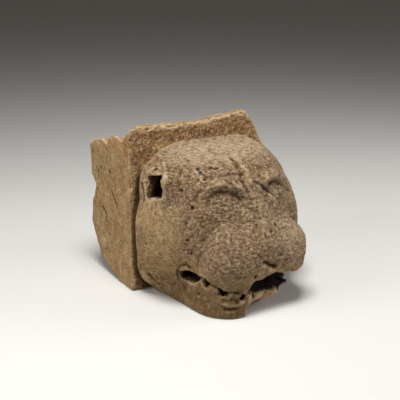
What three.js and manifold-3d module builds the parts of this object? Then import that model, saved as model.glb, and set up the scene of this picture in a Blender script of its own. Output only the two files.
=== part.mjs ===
// Lion head gargoyle, carved with its wall plate and bedding block from one piece of limestone.
// Millimetres, Z up. The face looks along minus Y; the whole cheek, with the ear socket, is at minus X.
// While carving, the plate's front face is y = 0 and the ground it stands on is z = 0.

import * as THREE from "three";
import { mergeVertices } from "three/addons/utils/BufferGeometryUtils.js";
import Module from "manifold-3d";

const wasm = await Module();
wasm.setup();

// Wall plate, with its upper right corner broken away
const BLOCK_WIDTH = 344;
const PLATE_THICKNESS = 25;
const PLATE_HEIGHT = 327;
const PLATE_HEIGHT_AT_BREAK = 339;
const PLATE_WEAR = 4;
const CORNER_BREAK_START = 90;
const CORNER_BREAK_FOOT = 186;
const CORNER_BREAK_STEPS = 9;
const CORNER_BREAK_ROUGHNESS = 4;

// Bedding block behind the plate, rough at the top and back, its underside rising to the rear
const BLOCK_TOP = 312;
const BLOCK_TOP_SLOPE = 0.27;
const BLOCK_BACK = 176;
const BLOCK_BACK_CURVE = 0.0035;
const BLOCK_LUMP = 7;
const BED_LENGTH = 50;
const BED_RISE = 0.3;
const BLOCK_GRID = [14, 9, 12];

// The head as rounded lumps, each blended into what is there before it over the length "soft".
// Lumps with "pair" are carved on both sides of the face; lumps with "cut" are taken away.
const HEART = [0, -52, 142];
const RIGHT_TEMPLE_NARROWER = 0.05;
const TEMPLE_FROM = 140;
const TEMPLE_TO = 230;
const HEAD_LUMPS = [
  { name: "cranium", box: [155, 113, 134], at: [0, -15, 154], round: 96, soft: 1 },
  { name: "root", box: [165, 66, 98], at: [0, -8, 102], round: 58, soft: 20 },
  { name: "jaw", slab: [124, 130, 52], at: [0, -84, 42], round: 62, edge: 20, taper: 0.0009, soft: 26 },
  { name: "muzzle", box: [100, 88, 62], at: [0, -130, 118], round: 54, soft: 34 },
  { name: "whisker pads", ball: [55, 42, 46], at: [-52, -177, 110], soft: 14, pair: true },
  { name: "cheeks", ball: [46, 68, 76], at: [-112, -66, 138], soft: 34, pair: true },
  { name: "forehead", ball: [114, 60, 48], at: [0, -86, 226], soft: 26 },
  {
    name: "nose",
    ridge: [[0, -130, 214], [0, -160, 172], [0, -178, 136]],
    thick: [30, 36, 36],
    soft: 26,
  },
  {
    name: "brows",
    ridge: [[-14, -146, 220], [-36, -143, 233], [-62, -136, 238], [-86, -120, 230], [-103, -104, 212]],
    thick: [12, 13, 13, 12, 10],
    soft: 12,
    pair: true,
  },
  { name: "eye sockets", ball: [37, 26, 13], at: [-58, -173, 215], soft: 16, pair: true, cut: true },
  { name: "eyes", ball: [36, 26, 24], at: [-58, -129, 199], soft: 22, pair: true },
  { name: "ear stump", box: [20, 38, 33], at: [-131, -58, 224], round: 14, soft: 12 },
];

// Strokes cut into the face along lines of points on its surface
const FACE_STROKES = [
  { line: [[-4, -91, 279], [-10, -133, 258], [-16, -153, 237], [-12, -161, 224]], deep: 6, wide: 8 },
  { line: [[4, -154, 238], [22, -157, 228], [42, -151, 212]], deep: 5, wide: 7 },
  { line: [[-84, -110, 256], [-64, -126, 251], [-32, -133, 253], [-8, -134, 254]], deep: 4, wide: 8, pair: true },
  { line: [[-94, -187, 143], [-105, -162, 126], [-109, -150, 108], [-113, -148, 90]], deep: 4, wide: 10, pair: true },
  { line: [[-14, -221, 103], [5, -221, 92]], deep: 7, wide: 7 },
];
const ROOT_GROOVE = { depth: 7, width: 8, at: -1, steps: 40 };
const HEAD_DETAIL = 20;
const FACE_CROWDING = 0.3;

// Mouth: a slot that follows the lip, with the height of its gap at each place along it
const LIP_LINE = [
  { at: [-127, -98, 70], gap: 14 },
  { at: [-120, -122, 66], gap: 22 },
  { at: [-115, -150, 68], gap: 9 },
  { at: [-109, -172, 66], gap: 15 },
  { at: [-100, -188, 62], gap: 6 },
  { at: [-91, -199, 56], gap: 17 },
  { at: [-76, -209, 55], gap: 6 },
  { at: [-58, -214, 45], gap: 15 },
  { at: [-40, -216, 54], gap: 9 },
  { at: [-20, -216, 60], gap: 16 },
  { at: [0, -212, 64], gap: 28 },
  { at: [32, -204, 62], gap: 30 },
  { at: [62, -190, 60], gap: 30 },
  { at: [94, -156, 60], gap: 22 },
  { at: [110, -116, 64], gap: 8 },
];
const MOUTH_DEPTH = 30;
const MOUTH_OVERCUT = 22;
const MOUTH_STEPS = 48;
const MOUTH_SIDES = 8;

// Square socket where the ear was, and the lost part of the lower jaw
const EAR_SOCKET = { at: [-150, -59, 221], size: [80, 46, 44], tilt: 0.06 };
const LOST_JAW = { left: -47, right: 150, top: 70, bottom: -20, front: -270, face: -196 };
const LOST_JAW_LEDGE = { height: 22, undercut: 1.5 };
const LOST_JAW_ENDS = { left: -20, leftSlope: 0.6, right: 56, rightSlope: 2.4, lean: 0.12 };
const LOST_JAW_ROUGHNESS = 5;
const LOST_JAW_GRID = [14, 2, 8];

const GROUND_SLAB = [900, 900, 120];

const LIMESTONE = new THREE.MeshStandardMaterial({
  name: "limestone",
  color: 0xb59b77,
  roughness: 0.95,
  metalness: 0,
});

// A geometry whose triangles share their vertices
function shared(geometry) {
  geometry.deleteAttribute("normal");
  geometry.deleteAttribute("uv");
  return mergeVertices(geometry, 1e-3);
}

// A closed geometry as a solid that can be joined and cut
function solidFrom(geometry) {
  const merged = shared(geometry);
  return new wasm.Manifold(
    new wasm.Mesh({
      numProp: 3,
      vertProperties: Float32Array.from(merged.attributes.position.array),
      triVerts: Uint32Array.from(merged.index.array),
    }),
  );
}

function geometryFrom(solid) {
  const mesh = solid.getMesh();
  const geometry = new THREE.BufferGeometry();
  geometry.setAttribute("position", new THREE.BufferAttribute(mesh.vertProperties, 3));
  geometry.setIndex(new THREE.BufferAttribute(mesh.triVerts, 1));
  geometry.computeVertexNormals();
  return geometry;
}

// Moves every vertex of a geometry to where the function puts it
function reshape(geometry, place) {
  const position = geometry.attributes.position;
  for (let i = 0; i < position.count; i += 1) {
    position.setXYZ(i, ...place(position.getX(i), position.getY(i), position.getZ(i)));
  }
  return geometry;
}

// Union and cut of two distance fields, rounded where they meet
function softUnion(a, b, soft) {
  const share = THREE.MathUtils.clamp(0.5 + (0.5 * (b - a)) / soft, 0, 1);
  return THREE.MathUtils.lerp(b, a, share) - soft * share * (1 - share);
}

function softCut(a, b, soft) {
  return -softUnion(-a, b, soft);
}

function roundedBox(p, lump) {
  const out = p.map((value, i) => Math.abs(value - lump.at[i]) - lump.box[i] + lump.round);
  const outside = Math.hypot(...out.map((value) => Math.max(value, 0)));
  return outside + Math.min(Math.max(...out), 0) - lump.round;
}

// A slab with round corners in plan, softer edges above and below, narrowing towards the front
function jawSlab(p, lump) {
  const narrow = 1 + lump.taper * THREE.MathUtils.clamp(lump.at[1] + 24 - p[1], 0, 200);
  const across = Math.abs(p[0] - lump.at[0]) * narrow - lump.slab[0] + lump.round;
  const along = Math.abs(p[1] - lump.at[1]) - lump.slab[1] + lump.round;
  const plan = Math.hypot(Math.max(across, 0), Math.max(along, 0)) + Math.min(Math.max(across, along), 0);
  const side = plan - lump.round + lump.edge;
  const rise = Math.abs(p[2] - lump.at[2]) - lump.slab[2] + lump.edge;
  return Math.hypot(Math.max(side, 0), Math.max(rise, 0)) + Math.min(Math.max(side, rise), 0) - lump.edge;
}

function ball(p, lump) {
  const q = p.map((value, i) => (value - lump.at[i]) / lump.ball[i]);
  const reach = Math.hypot(...q);
  const steepness = Math.hypot(...q.map((value, i) => value / lump.ball[i])) + 1e-9;
  return (reach * (reach - 1)) / steepness;
}

// A rope of tapered lengths through the given points
function ridge(p, lump) {
  const point = new THREE.Vector3(...p);
  const nearest = new THREE.Vector3();
  let distance = Infinity;
  for (let i = 0; i + 1 < lump.ridge.length; i += 1) {
    const line = new THREE.Line3(new THREE.Vector3(...lump.ridge[i]), new THREE.Vector3(...lump.ridge[i + 1]));
    const share = line.closestPointToPointParameter(point, true);
    const thick = THREE.MathUtils.lerp(lump.thick[i], lump.thick[i + 1], share);
    distance = Math.min(distance, line.at(share, nearest).distanceTo(point) - thick);
  }
  return distance;
}

function lumpField(p, lump) {
  if (lump.box) return roundedBox(p, lump);
  if (lump.slab) return jawSlab(p, lump);
  if (lump.ball) return ball(p, lump);
  return ridge(p, lump);
}

// Distance from the head's surface: negative inside the stone
function headField(x, y, z) {
  const narrower = 1 + RIGHT_TEMPLE_NARROWER * THREE.MathUtils.smoothstep(z, TEMPLE_FROM, TEMPLE_TO);
  const whole = [x > 0 ? x * narrower : x, y, z];
  const folded = [-Math.abs(whole[0]), y, z];
  let field = Infinity;
  for (const lump of HEAD_LUMPS) {
    const part = lumpField(lump.pair ? folded : whole, lump);
    if (field === Infinity) field = part;
    else if (lump.cut) field = softCut(field, part, lump.soft);
    else field = softUnion(field, part, lump.soft);
  }
  return field;
}

// How far the head's surface is from a point inside it in one direction
function reachOfHead(heart, direction) {
  const along = (t) => headField(...heart.map((value, i) => value + direction.getComponent(i) * t));
  let near = 20;
  let far = near;
  while (along(far) < 0) {
    near = far;
    far += 5;
  }
  for (let i = 0; i < 14; i += 1) {
    const middle = (near + far) / 2;
    if (along(middle) < 0) near = middle;
    else far = middle;
  }
  return near;
}

// How deep the strokes cut the face at a place on its surface
function strokeDepth([x, y, z]) {
  let depth = 0;
  for (const stroke of FACE_STROKES) {
    const place = new THREE.Vector3(stroke.pair ? -Math.abs(x) : x, y, z);
    const points = stroke.line.map((point) => new THREE.Vector3(...point));
    for (let i = 0; i + 1 < points.length; i += 1) {
      const nearest = new THREE.Line3(points[i], points[i + 1]).closestPointToPoint(place, true, new THREE.Vector3());
      depth = Math.max(depth, stroke.deep * Math.exp(-((nearest.distanceTo(place) / stroke.wide) ** 2)));
    }
  }
  return depth;
}

// A ball of triangles, closer together towards the face, pushed out to the head's surface
function carveHead() {
  return reshape(shared(new THREE.IcosahedronGeometry(1, HEAD_DETAIL)), (x, y, z) => {
    const direction = new THREE.Vector3(x, y - FACE_CROWDING, z).normalize();
    const place = (reach) => HEART.map((value, i) => value + direction.getComponent(i) * reach);
    const reach = reachOfHead(HEART, direction);
    return place(reach - strokeDepth(place(reach)));
  });
}

// A flat ring that cuts the groove between the head and its plate
function cutRootGroove() {
  const { depth, width, at, steps } = ROOT_GROOVE;
  const root = [HEART[0], at - width / 2, HEART[2]];
  const ringPoint = (turn, offset) => {
    const direction = new THREE.Vector3(Math.cos(turn), 0, Math.sin(turn));
    const reach = reachOfHead(root, direction) + offset;
    return new THREE.Vector2(direction.x * reach, root[2] + direction.z * reach);
  };
  const turns = Array.from({ length: steps }, (_, i) => (2 * Math.PI * i) / steps);
  const ring = new THREE.Shape(turns.map((turn) => ringPoint(turn, 4 * depth)));
  ring.holes.push(new THREE.Path(turns.map((turn) => ringPoint(turn, -depth))));
  const groove = new THREE.ExtrudeGeometry(ring, { depth: width, bevelEnabled: false });
  return groove.rotateX(Math.PI / 2).translate(0, at, 0);
}

// The slot of the mouth: a closed tube bent along the lip line and drawn deep into the head
function cutMouth() {
  const path = new THREE.CatmullRomCurve3(LIP_LINE.map((place) => new THREE.Vector3(...place.at)));
  const gapAt = (share) => {
    const place = share * (LIP_LINE.length - 1);
    const before = Math.min(Math.floor(place), LIP_LINE.length - 2);
    return THREE.MathUtils.lerp(LIP_LINE[before].gap, LIP_LINE[before + 1].gap, place - before);
  };
  return reshape(new THREE.SphereGeometry(1, MOUTH_SIDES, MOUTH_STEPS), (x, y, z) => {
    const share = 0.5 + Math.asin(THREE.MathUtils.clamp(y, -1, 1)) / Math.PI;
    const ring = Math.hypot(x, z) || 1;
    const atEnd = Math.hypot(x, z) < 1e-4 ? 0 : 1;
    const centre = path.getPoint(share);
    const tangent = path.getTangent(share);
    const outward = new THREE.Vector3(-tangent.y, tangent.x, 0).normalize().negate();
    const inOrOut = x / ring > 0 ? MOUTH_OVERCUT : MOUTH_DEPTH;
    centre.addScaledVector(outward, (atEnd * inOrOut * x) / ring);
    centre.z += (atEnd * gapAt(share) * z) / ring / 2;
    return centre.toArray();
  });
}

function cutEarSocket() {
  const socket = new THREE.BoxGeometry(...EAR_SOCKET.size);
  socket.rotateX(EAR_SOCKET.tilt);
  socket.translate(...EAR_SOCKET.at);
  return socket;
}

// The stone lost from the lower jaw: in front of a rough face that undercuts towards the ground
function cutLostJaw() {
  const { left, right, top, bottom, front, face } = LOST_JAW;
  const ends = LOST_JAW_ENDS;
  const brokenFace = (x, z) => {
    const below = LOST_JAW_LEDGE.undercut * Math.max(0, LOST_JAW_LEDGE.height - z);
    const beside = ends.rightSlope * Math.max(0, x - ends.right);
    const stump = ends.leftSlope * Math.max(0, ends.left - x);
    const roughness = LOST_JAW_ROUGHNESS * Math.sin(x / 9 + z / 17) * Math.sin(z / 11 - x / 23);
    return face + below + beside - stump + roughness;
  };
  return reshape(new THREE.BoxGeometry(1, 1, 1, ...LOST_JAW_GRID), (u, v, w) => {
    const z = THREE.MathUtils.lerp(bottom, top, w + 0.5);
    const x = THREE.MathUtils.lerp(left + ends.lean * z, right, u + 0.5);
    return [x, THREE.MathUtils.lerp(front, brokenFace(x, z), v + 0.5), z];
  });
}

// Height of the plate's broken corner above the ground, at a distance from the middle
function cornerBreak(x) {
  const share = (x - CORNER_BREAK_START) / (BLOCK_WIDTH / 2 - CORNER_BREAK_START);
  const fall = THREE.MathUtils.lerp(PLATE_HEIGHT_AT_BREAK, CORNER_BREAK_FOOT, Math.max(share, 0) ** 1.15);
  const onBreak = share > 0 && share < 1 ? 1 : 0;
  return fall + onBreak * CORNER_BREAK_ROUGHNESS * Math.sin(x / 4.3);
}

function buildPlate() {
  const half = BLOCK_WIDTH / 2 - PLATE_WEAR;
  const outline = new THREE.Shape();
  outline.moveTo(-half, -PLATE_THICKNESS);
  outline.lineTo(half, -PLATE_THICKNESS);
  for (let i = 0; i <= CORNER_BREAK_STEPS; i += 1) {
    const x = THREE.MathUtils.lerp(half, CORNER_BREAK_START, i / CORNER_BREAK_STEPS);
    outline.lineTo(x, cornerBreak(x) - PLATE_WEAR);
  }
  outline.quadraticCurveTo(20, PLATE_HEIGHT + 2 - PLATE_WEAR, -40, PLATE_HEIGHT - PLATE_WEAR);
  outline.lineTo(-half, PLATE_HEIGHT - 3 - PLATE_WEAR);
  const plate = new THREE.ExtrudeGeometry(outline, {
    depth: PLATE_THICKNESS - 2 * PLATE_WEAR,
    curveSegments: 6,
    bevelSize: PLATE_WEAR,
    bevelThickness: PLATE_WEAR,
    bevelSegments: 2,
  });
  plate.rotateX(Math.PI / 2);
  plate.translate(0, PLATE_THICKNESS - PLATE_WEAR, 0);
  return plate;
}

// A box whose top and back are broken surfaces and whose underside rises behind the bed
function buildBlock() {
  const lumps = (a, b) => BLOCK_LUMP * Math.sin(a / 13 + b / 41) * Math.sin(a / 31 - b / 29 + 1);
  const top = (x, y) => {
    const slope = BLOCK_TOP - BLOCK_TOP_SLOPE * (y - PLATE_THICKNESS) + lumps(y, x);
    return Math.min(slope, cornerBreak(x) - BLOCK_LUMP - 0.2 * y);
  };
  const back = (x, z) => {
    const tuck = BLOCK_BACK_CURVE * Math.max(0, 90 - z) ** 2;
    return BLOCK_BACK - tuck + 1.4 * lumps(z, x);
  };
  const bottom = (y) => BED_RISE * Math.max(0, y - BED_LENGTH);
  const front = PLATE_THICKNESS / 2;
  return reshape(new THREE.BoxGeometry(1, 1, 1, ...BLOCK_GRID), (u, v, w) => {
    const x = BLOCK_WIDTH * u;
    const y = THREE.MathUtils.lerp(front, back(x, BLOCK_TOP * (w + 0.5)), v + 0.5);
    const z = THREE.MathUtils.lerp(bottom(y), top(x, y), w + 0.5);
    return [x, y, z];
  });
}

function cutGround() {
  return new THREE.BoxGeometry(...GROUND_SLAB).translate(0, 0, -GROUND_SLAB[2] / 2);
}

function carveGargoyle() {
  const head = solidFrom(carveHead())
    .subtract(solidFrom(cutMouth()))
    .subtract(solidFrom(cutLostJaw()))
    .subtract(solidFrom(cutEarSocket()))
    .subtract(solidFrom(cutRootGroove()));
  return geometryFrom(
    solidFrom(buildPlate())
      .add(solidFrom(buildBlock()))
      .add(head)
      .subtract(solidFrom(cutGround())),
  );
}

const stone = new THREE.Mesh(carveGargoyle(), LIMESTONE);
stone.name = "lion_head_gargoyle";
stone.geometry.computeBoundingBox();
const middle = stone.geometry.boundingBox.getCenter(new THREE.Vector3());
stone.position.set(-middle.x, -middle.y, -stone.geometry.boundingBox.min.z);

const gargoyle = new THREE.Group();
gargoyle.add(stone);

export default gargoyle;
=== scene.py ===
"""The lion head gargoyle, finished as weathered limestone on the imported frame.

The stone is worked out in millimetres in the carver's frame: the plate's front face is y = 0, the ground is
z = 0 and the face looks along minus y. One shift along y and one scale bring it into the frame's metres.
"""
import math

import bpy
import numpy as np
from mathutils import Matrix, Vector


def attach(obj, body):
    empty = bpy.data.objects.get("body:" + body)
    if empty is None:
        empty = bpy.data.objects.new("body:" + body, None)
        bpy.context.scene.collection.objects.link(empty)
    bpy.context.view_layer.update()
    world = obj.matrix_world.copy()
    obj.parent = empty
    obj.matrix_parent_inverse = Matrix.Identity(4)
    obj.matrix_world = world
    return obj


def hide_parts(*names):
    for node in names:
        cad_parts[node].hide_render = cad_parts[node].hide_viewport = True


NODE = "lion_head_gargoyle"
MM = 0.001
PLATE_FRONT = 18.5

# Wall plate, with its upper right corner broken away
BLOCK_WIDTH = 344
PLATE_THICKNESS = 25
PLATE_TOP_LINE = [
    (-172, 329), (-155, 329), (-134, 328), (-80, 327), (-12, 326), (24, 330), (60, 334), (94, 337),
]
PLATE_WEAR = 5
PLATE_LEFT_CORNER_WEAR = 0.75
PLATE_LEFT_CORNER_HEIGHT = (290, 320)
PLATE_LEFT_CORNER_REACH = (2, 26)
PLATE_ACROSS = 160
PLATE_AROUND = 420
PLATE_ROUNDING = 5
PLATE_EDGE_STEPS = 4
CORNER_BREAK_START = 95
CORNER_BREAK_POWER = 1.25
CORNER_BREAK_TOP = 337
CORNER_BREAK_FOOT = 186
CORNER_BREAK_ROUGHNESS = 3
CORNER_BREAK_TOOTH = 4.3

# Bedding block: on its left side, the top as (depth, height) and the back as (height, depth)
BLOCK_TOP_LINE = [(12, 299), (37, 302), (49, 305), (67, 304), (81, 302), (90, 296), (100, 280), (124, 289),
                  (143, 284), (158, 280), (174, 272), (186, 260)]
BLOCK_BACK_LINE = [(0, 140), (34, 168), (50, 180), (73, 186), (110, 185), (142, 180), (163, 165), (179, 158),
                   (192, 168), (208, 179), (300, 180)]
BLOCK_BACK = 176
BLOCK_BACK_CURVE = 0.0035
BLOCK_BACK_CURVE_FROM = 90
BLOCK_BACK_LUMPS = 1.4
BLOCK_TOP = 308
BLOCK_TOP_SLOPE = 0.3
BLOCK_LUMP = 7
BLOCK_SWELLINGS = [(1, 47, 21), (0.6, 21, 22)]
BLOCK_LEFT_BACK_REACH = 50
BLOCK_LEFT_TOP_REACH = 30
BLOCK_BREAK_SLOPE = 0.2
BLOCK_GRID = (90, 300)
BLOCK_SPAN = 0.55
BLOCK_ROUNDING = 3
BLOCK_DIP = 16
BLOCK_DIP_AT = 45
BLOCK_DIP_WIDTH = 40
BED_LENGTH = 50
BED_RISE = 0.3

# Box under the ground line, and the heights over which wear fades out towards the ground
GROUND_HALF_WIDTH = 300
GROUND_HALF_LENGTH = 400
GROUND_DEPTH = 160
GROUND_FADE = (0.5, 6)

# The head as rounded lumps, each blended into what is there before it over the length "soft"
HEART = (0, -52, 142)
RIGHT_TEMPLE_NARROWER = 0.05
TEMPLE_FROM = 140
TEMPLE_TO = 230
JAW_TAPER_START = 24
JAW_TAPER_LENGTH = 200
HEAD_LUMPS = [
    dict(name="cranium", box=(155, 113, 134), at=(0, -15, 154), round=96, soft=1),
    dict(name="root", box=(165, 66, 98), at=(0, -8, 102), round=58, soft=20),
    dict(name="jaw", slab=(124, 130, 52), at=(0, -84, 42), round=62, edge=20, taper=0.0009, soft=26),
    dict(name="muzzle", box=(100, 88, 58), at=(0, -130, 115), round=54, soft=40),
    dict(name="whisker pads", ball=(55, 42, 46), at=(-52, -177, 110), soft=14, pair=True),
    dict(name="cheeks", ball=(46, 68, 76), at=(-112, -66, 138), soft=34, pair=True),
    dict(name="forehead", ball=(114, 60, 48), at=(0, -86, 226), soft=26),
    dict(name="nose", ridge=[(0, -130, 214), (0, -160, 172), (0, -178, 136)], thick=(30, 36, 36), soft=26),
    dict(
        name="brows",
        ridge=[(-14, -146, 220), (-36, -143, 233), (-62, -136, 238), (-86, -120, 230), (-103, -104, 212)],
        thick=(12, 13, 13, 12, 10),
        soft=12,
        pair=True,
    ),
    dict(name="eye sockets", ball=(37, 26, 13), at=(-58, -173, 215), soft=16, pair=True, cut=True),
    dict(name="eyes", ball=(36, 26, 24), at=(-58, -129, 199), soft=22, pair=True),
    dict(
        name="cheek fronts",
        ridge=[(-88, -122, 174), (-66, -136, 176), (-44, -147, 182)],
        thick=(20, 24, 22),
        soft=26,
        pair=True,
    ),
    dict(name="ear root", ball=(26, 24, 36), at=(-129, -12, 216), soft=14),
    dict(name="ear stump", box=(20, 38, 33), at=(-131, -58, 224), round=14, soft=12),
]
HEAD_AROUND = 320
HEAD_ALONG = 260
HEAD_POLE_TILT = 0.01
HEAD_NEAREST = 20
HEAD_FARTHEST = 330
HALVINGS = 20

# Mouth: a slot along the lip, with the height of its gap at each place
LIP_LINE = [
    (-125, -107, 66), (-123, -111, 66), (-120, -122, 66), (-117, -136, 67), (-115, -150, 69),
    (-113, -159, 72), (-112, -166, 71), (-110, -172, 67), (-106, -178, 66), (-100, -187, 66),
    (-95, -193, 60), (-91, -197, 53), (-85, -202, 51), (-77, -209, 56), (-66, -213, 52),
    (-59, -214, 43), (-54, -212, 38), (-48, -216, 48), (-36, -216, 51), (-20, -215, 53),
    (0, -212, 57), (28, -206, 59), (58, -192, 60), (94, -156, 60), (110, -116, 64),
]
LIP_GAPS = (
    13, 19, 22, 22, 17, 4, 4, 17, 6, 3, 6, 17, 8, 3, 4, 5, 14, 6, 18, 31, 42, 43, 35, 24, 8,
)
MOUTH_DEPTH = 38
MOUTH_OVERCUT = 22
MOUTH_STEPS = 120
MOUTH_AROUND = 28
LIP_ROUNDING = 2

# Square socket where the ear was, and the lost part of the lower jaw
EAR_SOCKET_DEPTH = (-190, -108)
EAR_SOCKET_CORNERS = [(-85, 213), (-79, 254), (-32, 243), (-35, 201)]
EAR_SOCKET_STEPS = 30
EAR_SOCKET_AROUND = 72
EAR_SOCKET_ROUNDING = 2
LOST_JAW_X = (-47, 150)
LOST_JAW_Y = (-270, -196)
LOST_JAW_Z = (-20, 70)
LOST_JAW_LEDGE = 22
LOST_JAW_LEDGE_RISE = 0.45
LOST_JAW_LEDGE_RISE_FROM = 20
LOST_JAW_UNDERCUT = 1.5
LOST_JAW_LEFT_END = -20
LOST_JAW_RIGHT_END = 56
LOST_JAW_END_SLOPES = (0.6, 2.4)
LOST_JAW_LEAN = 0.12
LOST_JAW_ROUGHNESS = 5
LOST_JAW_WAVES = (9, 17, 11, 23)
LOST_JAW_GRID = (70, 120)
LOST_JAW_SPAN = 90
LOST_JAW_EDGE = (-52, -44)

# Size of the mesh that the finished stone is drawn with
STONE_CELL = 2.8

# Strokes, creases and gouges: points near the surface, depth and half width, and how dark each is painted,
# for dirt and painted shade in the crease
STROKES = [
    dict(name="furrow", line=[(-6, -105, 274), (-10, -133, 258), (-15, -148, 244)], deep=4.0, wide=7.0),
    dict(name="furrow foot", line=[(-16, -150, 240), (-15, -157, 231), (-11, -161, 223)],
         deep=4.0, wide=3.2, dirt=0.5),
    dict(name="right brow", line=[(6, -150, 236), (17, -153, 232), (35, -148, 216), (52, -157, 196)],
         deep=3.4, wide=3.0, dirt=0.6),
    dict(name="wrinkle", line=[(-80, -115, 255), (-64, -129, 250), (-32, -133, 253), (-7, -139, 253)],
         deep=2.0, wide=3.6, dirt=0.35),
    dict(name="wrinkle above", line=[(-62, -110, 265), (-50, -116, 263)], deep=2.2, wide=3.0, dirt=0.6),
    dict(name="brow crease", line=[(-49, -145, 247), (-40, -152, 242)], deep=2.0, wide=3.0, dirt=0.4),
    dict(name="upper lid", line=[(-89, -142, 207), (-83, -141, 219), (-74, -144, 225), (-61, -148, 227),
                                 (-45, -151, 223), (-32, -153, 216), (-26, -159, 207)],
         deep=2.2, wide=4.0, dirt=0.5, spread=4.2),
    dict(name="brow ridge", line=[(-96, -132, 215), (-88, -136, 228), (-76, -141, 238), (-59, -148, 245),
                                  (-40, -152, 242), (-24, -155, 232)], deep=-2.0, wide=6.0),
    dict(name="furrow rib", line=[(3, -94, 274), (0, -121, 263), (4, -137, 253)], deep=-1.8, wide=4.0),
    dict(name="brow end", line=[(-104, -125, 214), (-95, -130, 228)], deep=2.6, wide=3.0, dirt=0.5),
    dict(name="beside the muzzle", line=[(-112, -140, 150), (-108, -150, 125), (-112, -140, 105)],
         deep=-3.5, wide=14.0),
    dict(name="right eye", line=[(47, -151, 227), (64, -146, 229), (85, -138, 217), (112, -122, 198)],
         deep=2.6, wide=4.0, dirt=0.5, spread=4.5),
    dict(name="muzzle crease",
         line=[(-94, -187, 143), (-104, -162, 127), (-108, -148, 108), (-112, -149, 92)],
         deep=1.2, wide=3.4, dirt=0.25),
    dict(name="nostril", line=[(-13, -214, 104), (4, -217, 93), (12, -218, 91)],
         deep=6.0, wide=3.6, dirt=0.9),
    dict(name="mouth corner", line=[(-119, -134, 89), (-126, -127, 91), (-132, -116, 86), (-132, -108, 75),
                                    (-127, -100, 59), (-121, -101, 46), (-118, -112, 36)],
         deep=3.0, wide=2.6, dirt=1),
    dict(name="lip rim", line=[(-121, -128, 84), (-128, -112, 76), (-127, -105, 66), (-123, -106, 52)],
         deep=-2.2, wide=4.0),
    dict(name="lip line", line=[(-114, -156, 76), (-112, -169, 74), (-105, -180, 67), (-100, -190, 67),
                                (-92, -196, 60), (-84, -201, 53), (-76, -209, 59), (-60, -213, 50),
                                (-54, -215, 46)], deep=4.0, wide=2.8, dirt=1),
    dict(name="teeth line", line=[(-88, -203, 21), (-70, -212, 21)], deep=3.0, wide=2.6, dirt=0.7),
    dict(name="tooth block", line=[(-87, -202, 42), (-74, -210, 40), (-62, -213, 38)],
         deep=3.2, wide=5.6, dirt=0.12),
    dict(name="teeth band", line=[(-92, -199, 32), (-76, -209, 30), (-58, -214, 29)], deep=-1.8, wide=4.0),
    dict(name="ear cut", line=[(-151, -16, 224), (-155, -27, 210), (-157, -29, 197)],
         deep=2.6, wide=2.6, dirt=0.7),
    dict(name="ear ridge", line=[(-120, -40, 266), (-140, -86, 254), (-146, -94, 226), (-146, -94, 210)],
         deep=-3.0, wide=4.0),
    dict(name="jaw nick", line=[(-157, -41, 45), (-149, -47, 37), (-142, -49, 29)],
         deep=7.0, wide=5.0, dirt=0.8),
    dict(name="side gouge", line=[(-172, 82, 186), (-172, 72, 172), (-172, 64, 163)],
         deep=3.0, wide=2.8, dirt=0.5),
    dict(name="edge dent", line=[(-172, 148, 218), (-172, 146, 198)], deep=3.2, wide=3.0, dirt=0.6),
    dict(name="back gouge", line=[(-172, 127, 142), (-172, 115, 133), (-172, 113, 115)],
         deep=3.6, wide=4.0, dirt=0.6, spread=4.0),
]
STROKE_STEPS = 14
STROKE_DEPTH_MEAN = 0.85
STROKE_DEPTH_CHANGE = 0.5
# Width and patchiness of the dark painted along each stroke: dirt and painted shade
DIRT_AND_SHADE_LINE_WIDTH = 2.6
DIRT_AND_SHADE_MEAN = 0.75
DIRT_AND_SHADE_CHANGE = 0.9

# Pits: a point near the surface and the pit's size as a share of a full one, then the scattered small ones
PITS = [
    (-83, -103, 261, 1), (-81, -108, 256, 1), (-83, -124, 247, 1), (25, -205, 167, 1), (7, -214, 159, 0.8),
    (-107, -125, 198, 1), (-122, -129, 171, 0.8), (-138, -43, 257, 1.6), (-119, -106, 229, 1),
    (-33, -221, 80, 1), (-114, -154, 42, 0.8), (-124, -135, 142, 0.7),
    (-172, 90, 224, 1.2), (-172, 130, 225, 0.7), (-172, 100, 90, 0.8),
    (-86, -113, 253, 0.5), (-78, -113, 252, 0.4), (-90, -118, 247, 0.5), (-76, -121, 249, 0.4),
    (-95, -106, 253, 0.4), (-88, -125, 242, 0.4), (-71, -113, 257, 0.5), (-100, -112, 240, 0.4),
]
PIT_DEPTH = 4.5
PIT_WIDTH = 3.2
PIT_REACH = 3
SCATTERED_PITS = 520
SCATTERED_PIT_SIZES = (0.12, 0.6)
SCATTERED_PIT_SEED = 7

# Groove round the root of the head, which turns to a fillet over its top
ROOT_GROOVE_DEPTH = 6
ROOT_GROOVE_WIDTH = 3.6
# Widths of the dirt and painted shade on the plate beside the root, and of the dark line painted in the
# groove
ROOT_DIRT_AND_SHADE_WIDTH = 9
ROOT_GROOVE_DIRT_AND_SHADE_WIDTH = 3.4
ROOT_GROOVE_AT = -4
ROOT_GROOVE_TOP = (215, 255)
ROOT_RAYS = 72
TOP_FILLET = 5
TOP_FILLET_WIDTH = 8

# Wear: chipped edges, tool marks on the crown, and noise as (depth, size, seed)
CHIP_DEPTH = 5
CHIP_LENGTH = 12
CHIP_EDGE = (0.25, 1.0)
CHIP_SHARE = 0.1
CHIP_STEPS = 3
TOOL_MARK_SPACING = 7.5
TOOL_MARK_DEPTH = 0.5
TOOL_MARK_WAY = (0.9, 0.45)
TOOL_MARK_WANDER = 3
TOOL_MARK_HEIGHT = (235, 262)
TOOL_MARK_FRONT = (8, 20)
BROAD_WEAR = [(1.3, 46, 1), (1.0, 22, 2)]
FINE_WEAR = [(0.9, 10, 3), (0.8, 6, 4)]
BREAK_WEAR = [(1, 9, 9), (0.6, 5, 10)]
BREAK_WEAR_DEPTH = 2.4
LEFT_SIDE_SMOOTHER = 0.6
NOISE_LATTICE = 32

# How often the mean of the neighbours is taken to find small and broad hollows
NEAR_STEPS = 4
FAR_STEPS = 60
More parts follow.
